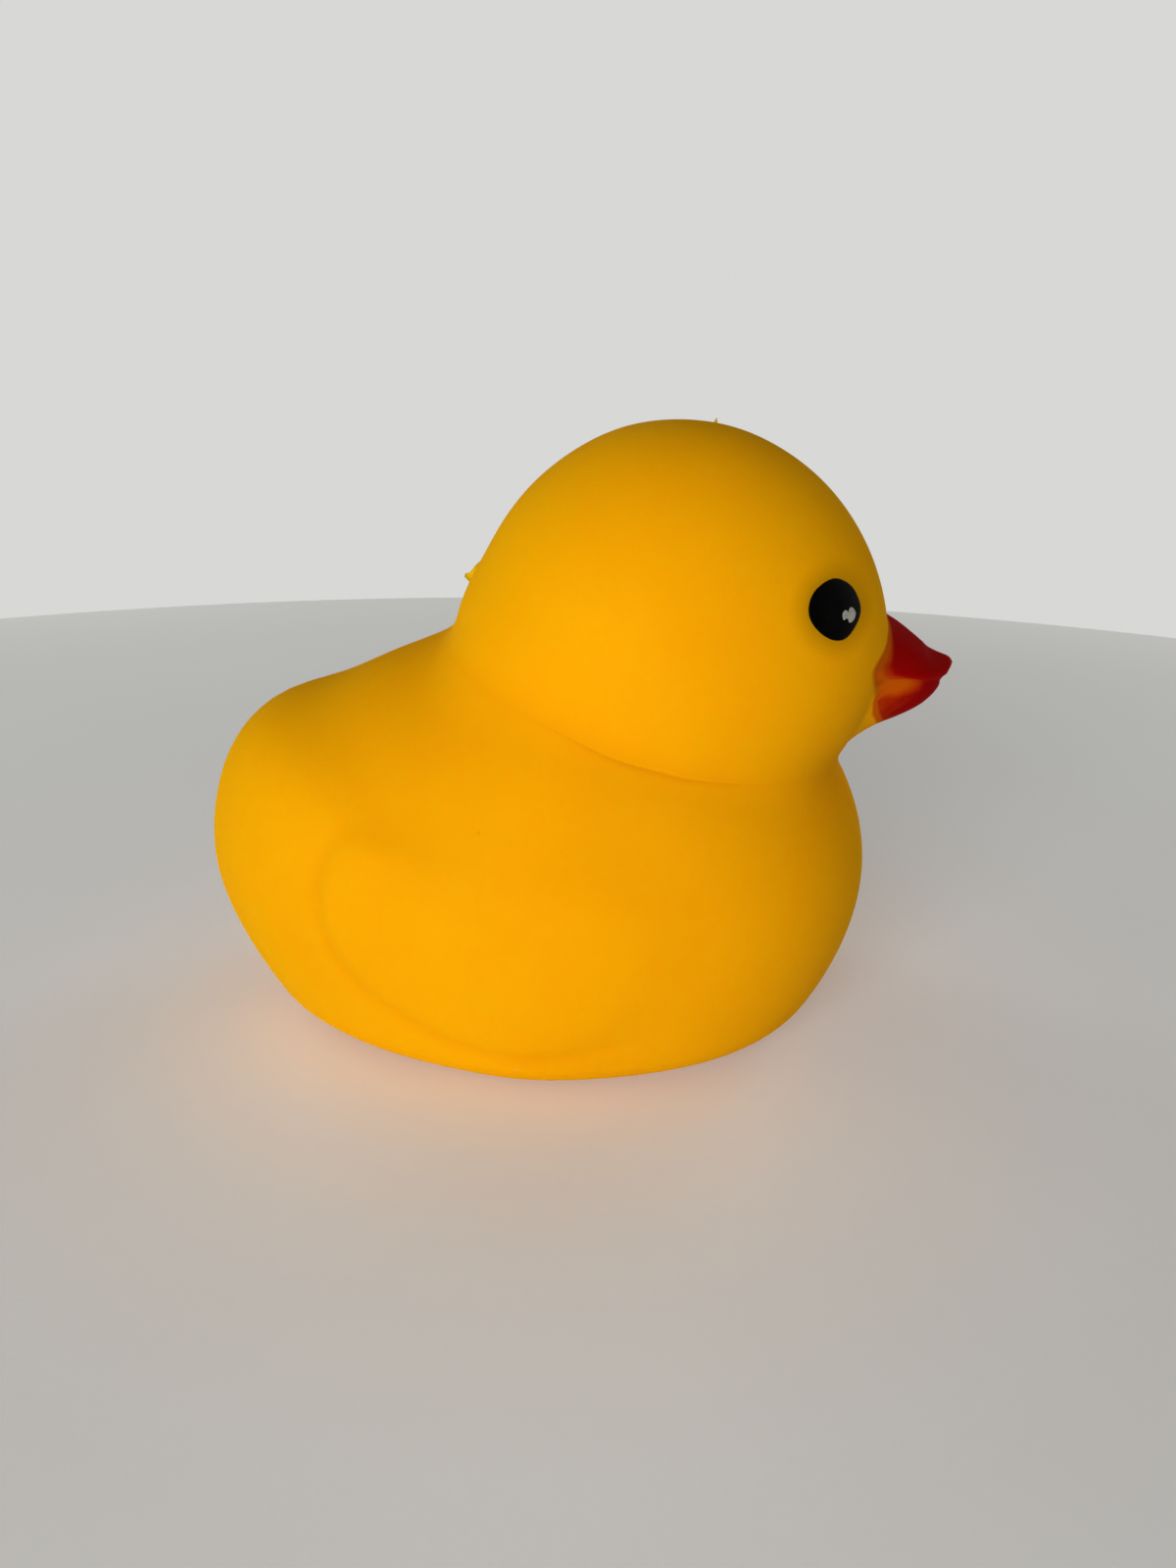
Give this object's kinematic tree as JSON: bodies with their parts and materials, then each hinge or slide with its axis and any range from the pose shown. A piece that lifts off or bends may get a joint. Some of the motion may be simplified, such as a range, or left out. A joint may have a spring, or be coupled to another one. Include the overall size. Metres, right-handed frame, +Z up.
{
  "type": "toy duck",
  "caption": "Soft one-piece toy duck with a round head, broad upturned tail, raised wing pads, painted eyes and a parted beak, standing on a flat underside.",
  "frame": {"origin": "On the flat underside, below the middle of the body", "axes": "+X is the way the duck looks, +Y its left side, +Z up"},
  "size_m": [0.0977, 0.0732, 0.0768],
  "materials": {
    "duck": "matte"
  },
  "bodies": {
    "root": {"duck": "duck"}
  },
  "joints": []
}
